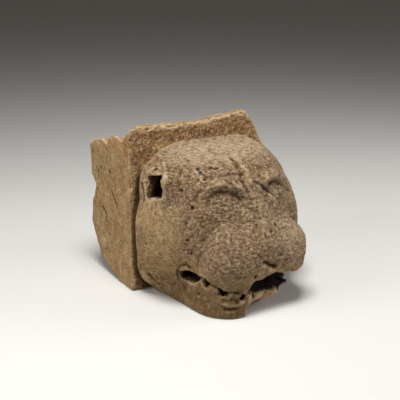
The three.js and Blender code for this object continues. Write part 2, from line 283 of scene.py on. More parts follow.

# Limestone: layers of colour from the bed up, with the grain in mm and the noise values each comes in at;
# some layers are painted highlights and painted shade
# The stone's own grain is too fine to show in the picture, so it is drawn coarser, at 4 to 7 mm
# Combed grain is drawn out along the chisel's way across the face, at the turn given in degrees
BED_COLOUR = "#b4976b"
STROKE_TURN = -31.5
STROKE_STRETCH = 3.2
GRAIN_DETAIL = 7.0
GRAIN_ROUGHNESS = 0.75
BUMP_GRAIN = 5.5
BUMP_HEIGHT = 11
STONE_ROUGHNESS = 0.95
STONE_SPECULAR = 0.25
STONE_LAYERS = [
    dict(name="bed tint", colour="#a87d45", grain=60, low=0.40, high=0.60),
    dict(name="broad stain", colour="#8f7145", grain=26, low=0.5, high=0.75),
    dict(name="brown crust", colour="#7d5c3e", mask="grey", grain=34, low=0.2, high=0.5),
    dict(name="lilac crust", colour="#866e5c", mask="grey", grain=48, low=0.52, high=0.66),
    # Paler stone on the top of the head with a painted highlight where it faces up, and a painted highlight
    # on the right whisker pad
    dict(name="pale top and painted highlight", colour="#c8ab8f", mask="top", grain=20, low=0.15, high=0.5),
    dict(name="ochre wash", colour="#9c6b30", mask="ochre", grain=22, low=0.2, high=0.5),
    dict(name="rust", colour="#c48d57", mask="rust", grain=14, low=0.3, high=0.55),
    dict(name="soft stain", colour="#7c5f3a", grain=12, low=0.55, high=0.8),
    # Painted shade: the jaw and the lower head made darker, where shade falls under the head
    dict(name="painted shade low on the head", colour="#735631", mask="low", grain=30, low=0.0, high=0.55),
    # Painted shade under the brows and about the eyes
    dict(name="painted shade about the eyes", colour="#59422a", mask="eyes", grain=24, low=0.1, high=0.6),
    # Paler fresh stone on the broken jaw, brightened further as painted light on a face the lamps leave in
    # shade
    dict(name="fresh break and painted light", colour="#e2bd92", mask="fresh", grain=9, low=0.1, high=0.5),
    dict(name="dark patches", colour="#573f27", mask="rough", grain=26, low=0.50, high=0.68),
    # Painted shade on the left cheek and whisker pad, under the brow
    dict(name="painted shade on cheek and pad", colour="#644a31", mask="cheek", grain=18, low=0.1, high=0.5),
    dict(name="light grains", colour="#d8bf99", grain=6.5, low=0.53, high=0.78),
    dict(name="dark grains", colour="#402b15", grain=5.5, low=0.52, high=0.72),
    dict(name="side stains", colour="#87622f", mask="flank", grain=15, low=0.50, high=0.70),
    dict(name="pale side bloom", colour="#cfb388", mask="flank", grain=28, low=0.50, high=0.68),
    dict(name="light side grains", colour="#d4b789", mask="flank", grain=5.4, low=0.51, high=0.72),
    dict(name="dark side grains", colour="#6e4e29", mask="flank", grain=4.2, low=0.51, high=0.72),
    dict(name="light face grains", colour="#dcbf98", mask="rough", grain=5.2, low=0.49, high=0.68),
    dict(name="dark face grains", colour="#291908", mask="rough", grain=4.6, low=0.50, high=0.67),
    dict(name="light strokes", colour="#dcc09a", mask="rough", grain=4.2, combed=True, low=0.52, high=0.70),
    dict(name="dark strokes", colour="#2e1d0b", mask="rough", grain=4.8, combed=True, low=0.52, high=0.69),
    # Paler worn edges, strongest where they face up: real wear with a painted highlight
    dict(name="worn edges", colour="#cdb38e", mask="worn"),
    # Dirt and painted shade in small hollows
    dict(name="dirt and painted shade in hollows", colour="#543b1e", mask="hollow"),
    # Dirt and painted shade in deep places
    dict(name="dirt and painted shade in deep places", colour="#432d16", mask="deep"),
    # Dirt and painted shade along the strokes and the root groove
    dict(name="dirt and painted shade in strokes", colour="#2a1a0b", mask="line"),
    # Dirt and painted shade on the plate beside the head, where the head's side shades it
    dict(name="dirt and painted shade beside the head", colour="#5a3f1a", mask="foot"),
    # Painted shade in the pits, near black
    dict(name="painted shade in pits", colour="#1d1108", mask="pit"),
    # Dirt and painted shade inside the mouth and the ear socket, near black
    dict(name="dirt and painted shade inside", colour="#1f1309", mask="inside"),
]

# Studio in metres and watts, and the photograph's view in degrees
FLOOR_HALF = 20.0
FLOOR_COLOUR = "#c9c7c3"
FLOOR_ROUGHNESS = 0.8
LIGHT_AIM = (0.0, -0.05, 0.17)
SOFT_LIGHTS = [
    dict(name="overhead", place=(-0.35, -0.45, 1.9), size=0.7, watts=48),
    dict(name="left side", place=(-1.7, 0.1, 0.8), size=1.0, watts=17),
    dict(name="right side", place=(1.6, -0.9, 0.7), size=1.0, watts=19),
]
SKY_COLOUR = "#d4cfc6"
SKY_STRENGTH = 0.15
VIEW_TURN = -31.5
VIEW_RISE = 17.3
VIEW_FIELD = 28
VIEW_DISTANCE = 1.547
VIEW_AIM = (-52, -60, 187)
SENSOR_WIDTH = 36


def soft_union(a, b, soft):
    """Smaller of two distance fields, rounded over the length soft where they cross."""
    share = np.clip(0.5 + 0.5 * (b - a) / soft, 0, 1)
    return b + (a - b) * share - soft * share * (1 - share)


def box_field(p, lump):
    """Distance from a box with round edges."""
    out = np.abs(p - np.float32(lump["at"])) - np.float32(lump["box"]) + lump["round"]
    outside = np.linalg.norm(np.maximum(out, 0), axis=-1)
    return outside + np.minimum(out.max(-1), 0) - lump["round"]


def slab_field(p, lump):
    """Distance from a slab: round corners in plan, softer edges, narrowing towards the front."""
    half, at = lump["slab"], lump["at"]
    narrow = 1 + lump["taper"] * np.clip(at[1] + JAW_TAPER_START - p[:, 1], 0, JAW_TAPER_LENGTH)
    across = np.abs(p[:, 0] - at[0]) * narrow - half[0] + lump["round"]
    along = np.abs(p[:, 1] - at[1]) - half[1] + lump["round"]
    plan = np.hypot(np.maximum(across, 0), np.maximum(along, 0)) + np.minimum(np.maximum(across, along), 0)
    side = plan - lump["round"] + lump["edge"]
    rise = np.abs(p[:, 2] - at[2]) - half[2] + lump["edge"]
    edge = np.hypot(np.maximum(side, 0), np.maximum(rise, 0)) + np.minimum(np.maximum(side, rise), 0)
    return edge - lump["edge"]


def ball_field(p, lump):
    """Distance from an ellipsoid, near enough close to its surface."""
    half = np.float32(lump["ball"])
    q = (p - np.float32(lump["at"])) / half
    reach = np.linalg.norm(q, axis=-1)
    return reach * (reach - 1) / (np.linalg.norm(q / half, axis=-1) + 1e-9)


def line_distance(p, line):
    """Distance of each point from a line through several points, and how far along its nearest place is."""
    line = np.float32(line)
    best = np.full(len(p), 1e9, np.float32)
    place = np.zeros(len(p), np.float32)
    for i in range(len(line) - 1):
        step = line[i + 1] - line[i]
        share = np.clip((p - line[i]) @ step / (step @ step), 0, 1)
        distance = np.linalg.norm(p - line[i] - share[:, None] * step, axis=-1)
        nearer = distance < best
        best = np.where(nearer, distance, best)
        place = np.where(nearer, i + share, place)
    return best, place


def ridge_field(p, lump):
    """Distance from a rope of tapered lengths."""
    distance, place = line_distance(p, lump["ridge"])
    return distance - np.interp(place, range(len(lump["thick"])), lump["thick"])


FIELDS = {"box": box_field, "slab": slab_field, "ball": ball_field, "ridge": ridge_field}


def smooth_step(value, low, high):
    """0 below low, 1 above high, an S between."""
    share = np.clip((value - low) / (high - low), 0, 1)
    return share * share * (3 - 2 * share)


def head_field(p):
    """Distance from the head's surface, negative inside: the lumps joined or cut one after another."""
    narrower = 1 + RIGHT_TEMPLE_NARROWER * smooth_step(p[:, 2], TEMPLE_FROM, TEMPLE_TO)
    whole = p.copy()
    whole[:, 0] = np.where(p[:, 0] > 0, p[:, 0] * narrower, p[:, 0])
    folded = whole.copy()
    folded[:, 0] = -np.abs(whole[:, 0])
    field = None
    for lump in HEAD_LUMPS:
        shape = FIELDS[next(kind for kind in FIELDS if kind in lump)]
        part = shape(folded if lump.get("pair") else whole, lump)
        if field is None:
            field = part
        elif lump.get("cut"):
            field = -soft_union(-field, part, lump["soft"])
        else:
            field = soft_union(field, part, lump["soft"])
    return field


def reach_of_head(heart, directions):
    """How far the head's surface lies from an inner point, by halving the stretch that holds it."""
    heart = np.float32(heart)
    near = np.full(len(directions), HEAD_NEAREST, np.float32)
    far = np.full(len(directions), HEAD_FARTHEST, np.float32)
    for _ in range(HALVINGS):
        middle = (near + far) / 2
        inside = head_field(heart + directions * middle[:, None]) < 0
        near = np.where(inside, middle, near)
        far = np.where(inside, far, middle)
    return near


def closed_tube(name, rings):
    """A closed mesh over a grid of points: columns run round each ring, the end rings are closed by fans."""
    rows, columns = rings.shape[:2]
    points = np.concatenate([rings.reshape(-1, 3), rings[0].mean(0)[None], rings[-1].mean(0)[None]])
    grid = np.arange(rows * columns).reshape(rows, columns)
    turned = np.roll(grid, -1, axis=1)
    quads = np.stack([grid[:-1], turned[:-1], turned[1:], grid[1:]], -1).reshape(-1, 4)
    first = np.full(columns, rows * columns)
    fans = np.concatenate([
        np.stack([first, turned[0], grid[0]], -1),
        np.stack([first + 1, grid[-1], turned[-1]], -1),
    ])
    corners = points[np.concatenate([quads[:, :3], quads[:, [0, 2, 3]], fans])]
    volume = np.einsum("ij,ij->", corners[:, 0], np.cross(corners[:, 1], corners[:, 2]))
    if volume < 0:
        quads, fans = quads[:, ::-1], fans[:, ::-1]
    mesh = bpy.data.meshes.new(name)
    mesh.from_pydata(points.tolist(), [], quads.tolist() + fans.tolist())
    piece = bpy.data.objects.new(name, mesh)
    bpy.context.scene.collection.objects.link(piece)
    return piece


def rounded(outline, times):
    """An outline with its corners worn round: each point moves to the mean of itself and its neighbours."""
    for _ in range(times):
        outline = (np.roll(outline, 1, axis=-2) + 2 * outline + np.roll(outline, -1, axis=-2)) / 4
    return outline


def even_outline(corners, count):
    """Points at even steps along a closed outline through the given corners."""
    corners = np.float32(corners)
    loop = np.concatenate([corners, corners[:1]])
    length = np.concatenate([[0], np.cumsum(np.linalg.norm(np.diff(loop, axis=0), axis=1))])
    steps = np.linspace(0, length[-1], count, endpoint=False)
    return np.stack([np.interp(steps, length, loop[:, i]) for i in range(loop.shape[1])], -1)


def head_tube():
    """r(turn, tilt): rays from the heart, turned about the line to the nose, out to the head's surface."""
    turn = np.linspace(0, 2 * np.pi, HEAD_AROUND, endpoint=False)
    tilt = np.linspace(HEAD_POLE_TILT, np.pi - HEAD_POLE_TILT, HEAD_ALONG)
    turn, tilt = np.meshgrid(turn, tilt)
    rays = np.stack([np.sin(tilt) * np.cos(turn), -np.cos(tilt), np.sin(tilt) * np.sin(turn)], -1)
    rays = rays.astype(np.float32).reshape(-1, 3)
    points = np.float32(HEART) + rays * reach_of_head(HEART, rays)[:, None]
    return closed_tube("head", points.reshape(HEAD_ALONG, HEAD_AROUND, 3))


def lip_path(steps):
    """The lip line as a smooth curve through its points, with its gap and the way out of the mouth."""
    knots = np.arange(len(LIP_LINE))
    share = np.linspace(0, len(LIP_LINE) - 1, steps)
    points = np.stack([np.interp(share, knots, np.float32(LIP_LINE)[:, i]) for i in range(3)], -1)
    for _ in range(LIP_ROUNDING):
        points[1:-1] = (points[:-2] + 2 * points[1:-1] + points[2:]) / 4
    ahead = np.gradient(points, axis=0)
    outward = np.stack([ahead[:, 1], -ahead[:, 0], np.zeros(steps)], -1)
    return points, np.interp(share, knots, LIP_GAPS), outward / np.linalg.norm(outward, axis=1)[:, None]


def mouth_tube():
    """A flat oval carried along the lip line, drawn deep into the head and past its surface."""
    points, gaps, outward = lip_path(MOUTH_STEPS)
    turn = np.linspace(0, 2 * np.pi, MOUTH_AROUND, endpoint=False)
    reach = np.where(np.cos(turn) > 0, MOUTH_OVERCUT, MOUTH_DEPTH) * np.cos(turn)
    rings = points[:, None] + reach[None, :, None] * outward[:, None]
    rings[:, :, 2] += gaps[:, None] / 2 * np.sin(turn)
    return closed_tube("mouth", rings)


def socket_tube():
    """A four-cornered section with slightly round corners, carried along x into the side of the head."""
    outline = rounded(even_outline(EAR_SOCKET_CORNERS, EAR_SOCKET_AROUND), EAR_SOCKET_ROUNDING)
    rings = np.zeros((EAR_SOCKET_STEPS, EAR_SOCKET_AROUND, 3))
    rings[:, :, 0] = np.linspace(*EAR_SOCKET_DEPTH, EAR_SOCKET_STEPS)[:, None]
    rings[:, :, 1:] = outline
    return closed_tube("ear_socket", rings)


def lost_jaw_tube():
    """The stone lost from the jaw: a box along x whose inner face is rough and undercuts to the ground."""
    rows, columns = LOST_JAW_GRID
    x = np.linspace(*LOST_JAW_X, rows)[:, None]
    corners = [(0, LOST_JAW_Z[0]), (1, LOST_JAW_Z[0]), (1, LOST_JAW_Z[1]), (0, LOST_JAW_Z[1])]
    stretched = np.float32(corners) * (LOST_JAW_SPAN, 1)
    outline = even_outline(stretched, columns) / (LOST_JAW_SPAN, 1)
    z = np.broadcast_to(outline[:, 1], (rows, columns))
    ledge = LOST_JAW_LEDGE + LOST_JAW_LEDGE_RISE * np.maximum(0, x - LOST_JAW_LEDGE_RISE_FROM)
    below = LOST_JAW_UNDERCUT * np.maximum(0, ledge - z)
    beside = LOST_JAW_END_SLOPES[1] * np.maximum(0, x - LOST_JAW_RIGHT_END)
    stump = LOST_JAW_END_SLOPES[0] * np.maximum(0, LOST_JAW_LEFT_END - x)
    a, b, c, d = LOST_JAW_WAVES
    rough = LOST_JAW_ROUGHNESS * np.sin(x / a + z / b) * np.sin(z / c - x / d)
    face = LOST_JAW_Y[1] + below + beside - stump + rough
    y = LOST_JAW_Y[0] + (face - LOST_JAW_Y[0]) * outline[:, 0]
    lean = LOST_JAW_LEAN * z * (LOST_JAW_X[1] - x) / (LOST_JAW_X[1] - LOST_JAW_X[0])
    return closed_tube("lost_jaw", np.stack([x + lean, y, z], -1))


def corner_break(x):
    """Height of the broken corner: a falling curve with a saw of small steps on it."""
    share = (x - CORNER_BREAK_START) / (BLOCK_WIDTH / 2 - CORNER_BREAK_START)
    drop = CORNER_BREAK_FOOT - CORNER_BREAK_TOP
    fall = CORNER_BREAK_TOP + drop * np.maximum(share, 0) ** CORNER_BREAK_POWER
    broken = (share > 0) & (share < 1)
    return fall + broken * CORNER_BREAK_ROUGHNESS * np.sin(x / CORNER_BREAK_TOOTH)


def plate_tube():
    """The plate's outline, worn round at its corners, carried through its thickness with worn edges."""
    half = BLOCK_WIDTH / 2
    across = np.linspace(half, -half, PLATE_ACROSS)
    top = np.minimum(np.interp(across, *np.transpose(PLATE_TOP_LINE)), corner_break(across))
    foot = [(-half, -PLATE_THICKNESS), (half, -PLATE_THICKNESS)]
    corners = np.concatenate([foot, np.stack([across, top], -1)])
    outline = rounded(even_outline(corners, PLATE_AROUND), PLATE_ROUNDING)
    along = np.roll(outline, -1, axis=0) - np.roll(outline, 1, axis=0)
    inward = np.stack([-along[:, 1], along[:, 0]], -1) / np.linalg.norm(along, axis=1)[:, None]
    turn = np.linspace(-np.pi / 2, np.pi / 2, 2 * PLATE_EDGE_STEPS + 1)
    front, back = turn[:PLATE_EDGE_STEPS + 1], turn[PLATE_EDGE_STEPS:]
    front_depth = PLATE_WEAR * (1 + np.sin(front))
    back_depth = PLATE_THICKNESS - PLATE_WEAR * (1 - np.sin(back))
    depth = np.concatenate([front_depth, back_depth])
    inset = PLATE_WEAR * (1 - np.concatenate([np.cos(front), np.cos(back)]))
    rings = np.zeros((len(depth), len(outline), 3))
    rings[:, :, [0, 2]] = outline + inset[:, None, None] * inward
    rings[:, :, 1] = depth[:, None]
    high = smooth_step(rings[:, :, 2], *PLATE_LEFT_CORNER_HEIGHT)
    corner = high * (1 - smooth_step(rings[:, :, 0] + half, *PLATE_LEFT_CORNER_REACH))
    rings[:, :, 2] -= PLATE_LEFT_CORNER_WEAR * depth[:, None] * corner
    return closed_tube("plate", rings)


def noise(p, size, seed):
    """Smooth noise from -1 to 1: random values on a lattice of the given size, blended between corners."""
    lattice = (NOISE_LATTICE, NOISE_LATTICE, NOISE_LATTICE)
    table = np.random.default_rng(seed).random(lattice, dtype=np.float32) * 2 - 1
    q = p / size
    cell = np.floor(q).astype(int)
    share = q - cell
    share = share * share * (3 - 2 * share)
    total = 0
    for i in (0, 1):
        for j in (0, 1):
            for k in (0, 1):
                weight = np.abs(1 - i - share[:, 0]) * np.abs(1 - j - share[:, 1])
                weight = weight * np.abs(1 - k - share[:, 2])
                corner = (cell + (i, j, k)) % NOISE_LATTICE
                total = total + weight * table[corner[:, 0], corner[:, 1], corner[:, 2]]
    return total


def layered_noise(p, layers):
    """Noise of several depths and sizes, added up."""
    return sum(depth * noise(p, size, seed) for depth, size, seed in layers)


def block_lumps(a, b):
    """Rough swellings of a broken face: smooth noise of two sizes over the face."""
    a, b = np.broadcast_arrays(a, b)
    places = np.stack([a.ravel(), b.ravel(), np.zeros(a.size)], -1)
    return BLOCK_LUMP * layered_noise(places, BLOCK_SWELLINGS).reshape(a.shape)


def block_tube():
    """The block's side outline carried along x: flat bed, broken back and top, lumpy away from the left."""
    rows, columns = BLOCK_GRID
    half = BLOCK_WIDTH / 2
    x = np.linspace(-half, half, rows)[:, None]
    corners = [(0, 0), (BLOCK_SPAN, 0), (BLOCK_SPAN, 1), (0, 1)]
    square = even_outline(corners, columns) / (BLOCK_SPAN, 1)
    v, w = square[:, 0], square[:, 1]
    front = PLATE_THICKNESS / 2
    z_level = BLOCK_TOP_LINE[0][1] * w
    inner = smooth_step(x + half, 0, BLOCK_LEFT_BACK_REACH)
    left_back = np.interp(z_level, *np.transpose(BLOCK_BACK_LINE))
    curve = BLOCK_BACK_CURVE * np.maximum(0, BLOCK_BACK_CURVE_FROM - z_level) ** 2
    far_back = BLOCK_BACK - curve + BLOCK_BACK_LUMPS * block_lumps(z_level, x)
    y = front + (left_back + (far_back - left_back) * inner - front) * v
    left_top = np.interp(y, *np.transpose(BLOCK_TOP_LINE))
    dip = BLOCK_DIP * np.exp(-(((y - BLOCK_DIP_AT) / BLOCK_DIP_WIDTH) ** 2))
    far_top = BLOCK_TOP - BLOCK_TOP_SLOPE * (y - PLATE_THICKNESS) + block_lumps(y, x) - dip
    slope = left_top + (far_top - left_top) * smooth_step(x + half, 0, BLOCK_LEFT_TOP_REACH)
    top = np.minimum(slope, corner_break(x) - BLOCK_LUMP - BLOCK_BREAK_SLOPE * y)
    bottom = BED_RISE * np.maximum(0, y - BED_LENGTH)
    z = bottom + (top - bottom) * w
    rings = rounded(np.stack([np.broadcast_to(x, y.shape), y, z], -1), BLOCK_ROUNDING)
    return closed_tube("block", rings)


def ground_tube():
    """A wide low box under the ground line, to cut the stone off flat."""
    half, deep = GROUND_HALF_WIDTH, GROUND_DEPTH
    corners = np.float32([(-half, -deep), (half, -deep), (half, 0), (-half, 0)])
    rings = np.zeros((2, 4, 3))
    rings[:, :, [0, 2]] = corners
    rings[:, :, 1] = np.float32([-GROUND_HALF_LENGTH, GROUND_HALF_LENGTH])[:, None]
    return closed_tube("ground", rings)


def rough_stone():
    """Head, plate and block joined, mouth, socket, lost jaw and ground cut away, meshed in even cells."""
    stone = head_tube()
    steps = [
        (mouth_tube(), "DIFFERENCE"),
        (socket_tube(), "DIFFERENCE"),
        (lost_jaw_tube(), "DIFFERENCE"),
        (plate_tube(), "UNION"),
        (block_tube(), "UNION"),
        (ground_tube(), "DIFFERENCE"),
    ]
    for tool, operation in steps:
        change = stone.modifiers.new(tool.name, "BOOLEAN")
        change.operation = operation
        change.solver = "MANIFOLD"
        change.object = tool
    remesh = stone.modifiers.new("cells", "REMESH")
    remesh.mode = "VOXEL"
    remesh.voxel_size = STONE_CELL
    carved = stone.evaluated_get(bpy.context.evaluated_depsgraph_get())
    mesh = bpy.data.meshes.new_from_object(carved)
    mesh.materials.clear()
    for tool in [stone] + [step[0] for step in steps]:
        bpy.data.objects.remove(tool)
    return mesh


def read_points(mesh):
    """The mesh's points as an array."""
    points = np.zeros(len(mesh.vertices) * 3, np.float32)
    mesh.vertices.foreach_get("co", points)
    return points.reshape(-1, 3)


def read_normals(mesh):
    """The mesh's outward directions at its points."""
    normals = np.zeros(len(mesh.vertices) * 3, np.float32)
    mesh.vertex_normals.foreach_get("vector", normals)
    return normals.reshape(-1, 3)


def write_points(mesh, points):
    """Puts moved points back into the mesh."""
    mesh.vertices.foreach_set("co", np.ascontiguousarray(points, np.float32).ravel())
    mesh.update()


def neighbour_mean(values, edges, times):
    """Each value replaced by the mean of its neighbours along the mesh's edges, several times."""
    count = np.bincount(edges.ravel(), minlength=len(values)).astype(np.float32)
    for _ in range(times):
        total = np.zeros_like(values)
        for axis in range(values.shape[1]):
            column = values[:, axis]
            total[:, axis] = np.bincount(edges[:, 0], column[edges[:, 1]], len(values))
            total[:, axis] += np.bincount(edges[:, 1], column[edges[:, 0]], len(values))
        values = total / np.maximum(count, 1)[:, None]
    return values


def on_surface(line, points):
    """A stroke laid on the stone: even places along it, each moved to the nearest point of the mesh."""
    line = np.float32(line)
    share = np.linspace(0, len(line) - 1, STROKE_STEPS)
    places = np.stack([np.interp(share, np.arange(len(line)), line[:, i]) for i in range(3)], -1)
    laid = np.stack([points[np.argmin(((points - place) ** 2).sum(1))] for place in places])
    laid[1:-1] = (laid[:-2] + 2 * laid[1:-1] + laid[2:]) / 4
    return laid


def root_line():
    """The outline of the head where it meets the plate, from rays in the plane of the groove."""
    turn = np.linspace(0, 2 * np.pi, ROOT_RAYS)
    rays = np.stack([np.cos(turn), np.zeros(ROOT_RAYS), np.sin(turn)], -1).astype(np.float32)
    middle = (HEART[0], ROOT_GROOVE_AT, HEART[2])
    return np.float32(middle) + rays * reach_of_head(middle, rays)[:, None]


def carve_strokes(points):
    """How far each point sinks, and its dirt and painted shade: a bell section along each stroke, a rib if
    deep is below 0.
    """
    sink = np.zeros(len(points), np.float32)
    # Dirt and painted shade along the strokes
    dirt = np.zeros(len(points), np.float32)
    uneven = STROKE_DEPTH_MEAN + STROKE_DEPTH_CHANGE * noise(points, 12, 23)
    patchy = np.clip(DIRT_AND_SHADE_MEAN + DIRT_AND_SHADE_CHANGE * noise(points, 8, 24), 0, 1)
    for stroke in STROKES:
        distance, _ = line_distance(points, on_surface(stroke["line"], points))
        groove = np.exp(-((distance / stroke["wide"]) ** 2))
        sink += stroke["deep"] * groove * uneven
        spread = stroke.get("spread", DIRT_AND_SHADE_LINE_WIDTH)
        dirt = np.maximum(dirt, stroke.get("dirt", 0.0) * patchy * np.exp(-((distance / spread) ** 2)))
    return sink, dirt


def carve_root(points, distance):
    """The groove round the head's root: a bell section about its outline, and a fillet over the top."""
    top = smooth_step(points[:, 2], *ROOT_GROOVE_TOP)
    groove = ROOT_GROOVE_DEPTH * (1 - top) * np.exp(-((distance / ROOT_GROOVE_WIDTH) ** 2))
    return groove - TOP_FILLET * top * np.exp(-((distance / TOP_FILLET_WIDTH) ** 2))


def carve_pits(points):
    """Small round holes: the listed ones and seeded ones at random places, each a bell section."""
    random = np.random.default_rng(SCATTERED_PIT_SEED)
    scattered = points[random.integers(0, len(points), SCATTERED_PITS)]
    named = np.float32(PITS)
    size = np.concatenate([named[:, 3], random.uniform(*SCATTERED_PIT_SIZES, SCATTERED_PITS)])
    sink = np.zeros(len(points), np.float32)
    for centre, share in zip(np.concatenate([named[:, :3], scattered]), size):
        near = np.flatnonzero(np.abs(points - centre).max(1) < PIT_REACH * PIT_WIDTH)
        nearest = points[near][np.argmin(((points[near] - centre) ** 2).sum(1))]
        distance = np.linalg.norm(points[near] - nearest, axis=1)
        bell = np.exp(-((distance / (PIT_WIDTH * share ** 0.5)) ** 2))
        sink[near] = np.maximum(sink[near], PIT_DEPTH * share * bell)
    return sink


def weather(points, normals):
    """How far weather moves the surface: broad hollows, finer grain and tool marks, smoother on the left."""
    broad = layered_noise(points, BROAD_WEAR)
    fine = layered_noise(points, FINE_WEAR)
    smoother = 1 - LEFT_SIDE_SMOOTHER * smooth_step(-normals[:, 0], 0.5, 0.9)
    x, y, z = points.T
    across = (TOOL_MARK_WAY[0] * x + TOOL_MARK_WAY[1] * y) * 2 * np.pi / TOOL_MARK_SPACING
    combed = smooth_step(z, *TOOL_MARK_HEIGHT) * smooth_step(-y, *TOOL_MARK_FRONT)
    wave = np.sin(across + TOOL_MARK_WANDER * noise(points, 28, 6))
    marks = TOOL_MARK_DEPTH * combed * wave * (0.5 + noise(points, 18, 8))
    broken = smooth_step(-head_field(points), 2, 6) * smooth_step(50 - z, 0, 6)
    broken = broken * smooth_step(x, *LOST_JAW_EDGE)
    ragged = BREAK_WEAR_DEPTH * broken * layered_noise(points, BREAK_WEAR)
    return (broad + fine) * smoother + marks + ragged


def carve_chips(points, normals, edges):
    """How far edges are chipped: the more a point stands out from its neighbours, in patches of noise."""
    stands_out = ((points - neighbour_mean(points, edges, CHIP_STEPS)) * normals).sum(1)
    patches = np.maximum(0, noise(points, CHIP_LENGTH, 31) + CHIP_SHARE)
    return CHIP_DEPTH * smooth_step(stands_out, *CHIP_EDGE) * patches


def stone_masks(points, normals, edges, pits, stroke_dirt_and_shade, root):
    """Where each layer of colour lies, from 0 to 1: steps and bells over place, slope and hollowness,
    painted highlights and painted shade among them.
    """
    x, y, z = points.T
    near = ((neighbour_mean(points, edges, NEAR_STEPS) - points) * normals).sum(1)
    far = ((neighbour_mean(points, edges, FAR_STEPS) - points) * normals).sum(1)
    cut_in = -head_field(points)
    head = smooth_step(-y, 4, 14)
    broken_jaw = head * smooth_step(48 - z, 0, 6) * smooth_step(x, *LOST_JAW_EDGE)
    broken_jaw = broken_jaw * smooth_step(-y, 150, 175)
    broken_rim = broken_jaw * (1 - smooth_step(normals[:, 2], 0.05, 0.5)) * (1 - smooth_step(z, 32, 44))
    # Dirt and painted shade inside the mouth and the ear socket
    inside = head * smooth_step(cut_in, 4, 20) * (1 - broken_rim) * (1 - 0.6 * smooth_step(x, 55, 90))
    plate_front = (1 - head) * smooth_step(-normals[:, 1], 0.4, 0.8) * smooth_step(12 - y, 0, 8)
    left = smooth_step(-x, 100, 130)
    # Dirt and painted shade on the plate beside the head's root, low on the left
    beside_root = np.exp(-((root / ROOT_DIRT_AND_SHADE_WIDTH) ** 2))
    left_foot_dirt_and_shade = plate_front * left * (1 - smooth_step(z, 130, 235)) * beside_root
    # Dark line painted in the root groove on the left: dirt and painted shade
    root_groove_dirt_and_shade = 0.85 * left * (1 - smooth_step(z, 240, 275)) * np.exp(-((root / ROOT_GROOVE_DIRT_AND_SHADE_WIDTH) ** 2))
    outer, sideways = np.abs(x), np.abs(normals[:, 0])
    side = smooth_step(0.5 * noise(points, 30, 5) + sideways, 0.0, 1.3)
    side = side * smooth_step(30 * noise(points, 24, 25) + outer, 84, 160)
    flank = smooth_step(0.3 * noise(points, 22, 27) + sideways, 0.1, 1.0)
    flank = flank * smooth_step(outer, 110, 150)
    # Painted highlight on the right whisker pad, where the right light falls
    right_pad_highlight = 0.6 * np.exp(-(((x - 62) / 42) ** 2) - ((z - 140) / 45) ** 2) * smooth_step(-y, 140, 180)
    # Painted shade on the left cheek and whisker pad
    cheek = np.exp(-(((x + 122) / 26) ** 2) - ((z - 165) / 42) ** 2)
    pad = np.exp(-(((x + 82) / 34) ** 2) - ((z - 100) / 26) ** 2)
    return {
        # Dirt and painted shade in small hollows
        "hollow": 0.9 * smooth_step(near, 0.15, 1.1),
        # Worn edges, paler where they face up: wear with a painted highlight
        "worn": 0.95 * smooth_step(-near, 0.15, 1.2) * (0.3 + 0.7 * smooth_step(normals[:, 2], 0.0, 0.6)),
        # Dirt and painted shade in deep places
        "deep": smooth_step(far, 1.5, 8.0) * (1 - smooth_step(z, 225, 255)) * (1 - broken_rim),
        # Painted shade about the eyes, under the brows
        "eyes": np.exp(-(((np.abs(x) - 60) / 34) ** 2) - ((z - 200) / 20) ** 2) * smooth_step(-y, 90, 130),
        # Dirt and painted shade inside the mouth and the ear socket
        "inside": inside,
        # Dirt and painted shade on the plate beside the head
        "foot": left_foot_dirt_and_shade,
        # Painted shade low on the head and jaw, fading out upwards
        "low": head * (1 - smooth_step(z, 30, 120)),
        "rough": np.maximum(head * (1 - 0.8 * side) * smooth_step(z, 50, 110), plate_front),
        # Painted shade in the pits
        "pit": smooth_step(pits, 1.0, 3.0),
        # Dirt and painted shade along the strokes and in the root groove
        "line": np.maximum(stroke_dirt_and_shade, root_groove_dirt_and_shade),
        "grey": head * (1 - side) * smooth_step(z, 60, 120),
        # Painted highlight: the head's top where it faces up, partly its paler tone, and the right whisker
        # pad
        "top": np.maximum(right_pad_highlight, head * smooth_step(z, 258, 284) * smooth_step(normals[:, 2], 0.1, 0.6)),
        "ochre": plate_front,
        "flank": flank,
        # Painted shade on the cheek and whisker pad
        "cheek": 0.8 * np.maximum(cheek, pad) * smooth_step(30 * noise(points, 20, 26) - y, 40, 150),
        # Fresh break on the jaw: paler stone with painted light
        "fresh": broken_rim * smooth_step(cut_in, 1, 6),
        "rust": smooth_step(y, 24, 32) * smooth_step(z, 262, 296),
    }


def finished_stone():
    """The stone with strokes, pits and weathering, its colour masks measured, in the frame's metres."""
    mesh = rough_stone()
    edges = np.zeros(len(mesh.edges) * 2, np.int32)
    mesh.edges.foreach_get("vertices", edges)
    edges = edges.reshape(-1, 2)
    points = read_points(mesh)
    normals = read_normals(mesh)
    standing = smooth_step(points[:, 2], *GROUND_FADE)
    pits = carve_pits(points)
    strokes, stroke_dirt_and_shade = carve_strokes(points)
    root, _ = line_distance(points, root_line())
    move = weather(points, normals) - strokes - carve_root(points, root) - pits
    move = move - carve_chips(points, normals, edges)
    points = points + normals * (move * standing)[:, None]
    write_points(mesh, points)
    for name, values in stone_masks(points, read_normals(mesh), edges, pits, stroke_dirt_and_shade, root).items():
        attribute = mesh.attributes.new(name, "FLOAT", "POINT")
        attribute.data.foreach_set("value", values.astype(np.float32))
    write_points(mesh, (points + (0, PLATE_FRONT, 0)) * MM)
    mesh.shade_smooth()
    piece = bpy.data.objects.new("carved_stone", mesh)
    bpy.context.scene.collection.objects.link(piece)
    return piece


def linear(hex_colour):
    """An sRGB hex colour as linear red, green, blue and alpha."""
    parts = [int(hex_colour[i:i + 2], 16) / 255 for i in (1, 3, 5)]
    return [v / 12.92 if v <= 0.04045 else ((v + 0.055) / 1.055) ** 2.4 for v in parts] + [1.0]


